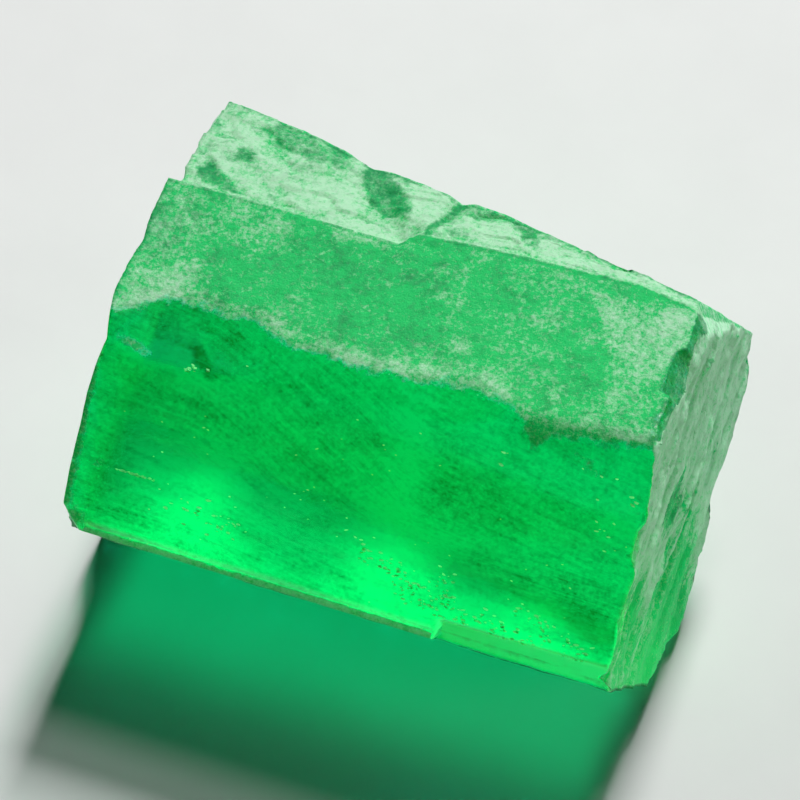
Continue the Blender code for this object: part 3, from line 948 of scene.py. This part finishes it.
up_face /= np.linalg.norm(up_face, axis=1, keepdims=True)
into_stone = np.stack([up_face[:, 1], -up_face[:, 0]], axis=-1)
flake_yz = front_corner + up_face * middles[:, 1:2]
flake_yz += into_stone * (middles[:, 2:3] - FLAKE_STAND * sizes[:, None])
behind_strip = np.maximum(flake_yz[:, 0], -0.004)
flake_yz[:, 0] = np.where(middles[:, 0] > 2.45, behind_strip, flake_yz[:, 0])
flake_heart = np.concatenate([middles[:, :1], flake_yz], axis=1)
turns = dice.uniform(0.0, 2.0 * np.pi, len(sizes))
tilt = dice.normal(0.0, 0.10, (len(sizes), 2))
facing_up = np.stack([tilt[:, 0], tilt[:, 1] + 0.05, np.ones(len(sizes))], axis=-1)
facing_up /= np.linalg.norm(facing_up, axis=1, keepdims=True)
long_axis = np.stack([np.ones(len(sizes)), 0.4 * np.sin(turns), np.zeros(len(sizes))], axis=-1)
long_axis -= facing_up * np.sum(long_axis * facing_up, axis=1, keepdims=True)
long_axis /= np.linalg.norm(long_axis, axis=1, keepdims=True)
short_axis = np.cross(facing_up, long_axis)
angles = np.linspace(0.0, 2.0 * np.pi, FLAKE_SIDES, endpoint=False)
jag = dice.uniform(0.65, 1.25, (len(sizes), FLAKE_SIDES))
rim_long = (jag * np.cos(angles))[..., None] * long_axis[:, None] * 1.5
rim_short = (jag * np.sin(angles))[..., None] * short_axis[:, None] * 0.8
rim_points = flake_heart[:, None] + sizes[:, None, None] * (rim_long + rim_short)
top_points = flake_heart + facing_up * sizes[:, None] * FLAKE_HALF_THICKNESS
low_points = flake_heart - facing_up * sizes[:, None] * FLAKE_HALF_THICKNESS
flake_points = np.concatenate([rim_points, top_points[:, None], low_points[:, None]], axis=1)
flake_start = np.arange(len(sizes))[:, None] * (FLAKE_SIDES + 2)
side = np.arange(FLAKE_SIDES)[None, :]
after = (side + 1) % FLAKE_SIDES
top_point = flake_start + FLAKE_SIDES
upper = np.stack(np.broadcast_arrays(top_point, flake_start + side, flake_start + after), axis=-1)
lower = np.stack(np.broadcast_arrays(top_point + 1, flake_start + after, flake_start + side), axis=-1)
flake_faces = np.concatenate([upper.reshape(-1, 3), lower.reshape(-1, 3)])
flake_vertices = (flake_points.reshape(-1, 3) - MIDDLE) * MM
flake_mesh = bpy.data.meshes.new("flakes")
flake_mesh.from_pydata(flake_vertices.tolist(), [], flake_faces.tolist())
flakes = bpy.data.objects.new("mineral_flakes", flake_mesh)
bpy.context.scene.collection.objects.link(flakes)

pale_flake = bpy.data.materials.new("pale_flake")
pale_flake.use_nodes = True
tree = pale_flake.node_tree
flake_shader = tree.nodes["Principled BSDF"]
dust = grain(12000.0, 3.0, 0.6)
feed(flake_shader.inputs["Base Color"], blend(dust, (0.06, 0.92, 0.26, 1.0), (0.42, 1.0, 0.50, 1.0)))
feed(flake_shader.inputs["Roughness"], 0.60)
feed(flake_shader.inputs["Transmission Weight"], 0.55)
feed(flake_shader.inputs["IOR"], 1.45)
feed(flake_shader.inputs["Specular IOR Level"], 0.10)
flake_mesh.materials.append(pale_flake)

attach(flakes, "root")

# ---------------------------------------------------------------------------
# The ground: a wide sheet of pale, faintly fibrous card that the crystal lies on.
# It is only the stage, and isn't part of the object.
# ---------------------------------------------------------------------------
CARD_HALF = 0.6
CARD_BELOW = -0.00002
card_corners = [(-1, -1), (1, -1), (1, 1), (-1, 1)]
card_mesh = bpy.data.meshes.new("card_sheet")
card_mesh.from_pydata(
    [(CARD_HALF * side_x, CARD_HALF * side_y, CARD_BELOW) for side_x, side_y in card_corners],
    [],
    [(0, 1, 2, 3)],
)
card = bpy.data.objects.new("card_ground", card_mesh)
bpy.context.scene.collection.objects.link(card)
pale_card = bpy.data.materials.new("pale_card")
pale_card.use_nodes = True
tree = pale_card.node_tree
card_shader = tree.nodes["Principled BSDF"]
cloudy = grain(260.0, 5.0, 0.6)
# Painted shade: the card is painted a little darker towards the front right, where the light falls off.
card_place = add("SeparateXYZ")
feed(card_place.inputs[0], add("TexCoord").outputs["Object"])
card_fall = add("MapRange")
feed(card_fall.inputs["Value"], sum_up("SUBTRACT", card_place.outputs["X"], card_place.outputs["Y"]))
feed(card_fall.inputs["From Min"], -0.004)
feed(card_fall.inputs["From Max"], 0.020)
bright_card = blend(cloudy, (0.66, 0.67, 0.66, 1.0), (0.73, 0.74, 0.73, 1.0))
shaded_card = blend(cloudy, (0.56, 0.57, 0.56, 1.0), (0.62, 0.63, 0.62, 1.0))
feed(card_shader.inputs["Base Color"], blend(card_fall.outputs[0], bright_card, shaded_card))
feed(card_shader.inputs["Roughness"], 0.75)
feed(card_shader.inputs["Specular IOR Level"], 0.15)
card_mesh.materials.append(pale_card)

# ---------------------------------------------------------------------------
# Studio light: one large soft lamp high up and behind, a weaker second one nearer overhead and a
# low wide fill at the right, in a dim even surround. None of it is part of the object.
# ---------------------------------------------------------------------------
scene = bpy.context.scene
world = bpy.data.worlds.new("studio_surround")
world.use_nodes = True
background = world.node_tree.nodes["Background"]
background.inputs["Color"].default_value = (0.93, 0.97, 1.0, 1.0)
background.inputs["Strength"].default_value = 0.006
scene.world = world


def hang_lamp(name, direction, distance, energy, width, length):
    """Hang an oval area lamp in a direction from the crystal and this far from it, facing it: its
    place is the direction made one long, times the distance."""
    lamp_data = bpy.data.lights.new(name, "AREA")
    lamp_data.shape = "DISK" if width == length else "ELLIPSE"
    lamp_data.size = width
    lamp_data.size_y = length
    lamp_data.energy = energy
    lamp = bpy.data.objects.new(name, lamp_data)
    scene.collection.objects.link(lamp)
    towards = Vector(direction).normalized()
    lamp.location = towards * distance
    lamp.rotation_euler = towards.to_track_quat("Z", "Y").to_euler()


hang_lamp("soft_lamp", TOWARDS_LAMP, 0.32, 1.105, 0.050, 0.085)
hang_lamp("lamp_halo", (0.05, 0.345, 0.938), 0.33, 0.19, 0.07, 0.07)
hang_lamp("side_fill", (0.97, 0.10, 0.16), 0.35, 0.125, 0.20, 0.20)

# ---------------------------------------------------------------------------
# Camera: a long lens from the front right, looking down at the crystal. It is only how the
# object is seen, like the standard view transform and the number of light bounces.
# ---------------------------------------------------------------------------
ELEVATION = np.radians(54.0)
SWING = np.radians(20.5)
CAMERA_FAR = 0.200
SEEN_WIDTH = 800 * 0.0216 * MM
SENSOR_WIDTH = 36.0
camera_data = bpy.data.cameras.new("camera")
camera_data.sensor_width = SENSOR_WIDTH
camera_data.lens = SENSOR_WIDTH * CAMERA_FAR / SEEN_WIDTH
camera_data.clip_start = 0.01
camera_data.clip_end = 5.0
camera = bpy.data.objects.new("camera", camera_data)
scene.collection.objects.link(camera)
backward = Vector(
    (np.sin(SWING) * np.cos(ELEVATION), -np.cos(SWING) * np.cos(ELEVATION), np.sin(ELEVATION))
)
aim = Vector(((-1.53 - MIDDLE[0]) * MM, (8.39 - MIDDLE[1]) * MM, 0.0))
camera.location = aim + backward * CAMERA_FAR
camera.rotation_euler = backward.to_track_quat("Z", "Y").to_euler()
scene.camera = camera
scene.view_settings.view_transform = "Standard"
scene.cycles.max_bounces = 16
scene.cycles.transparent_max_bounces = 16
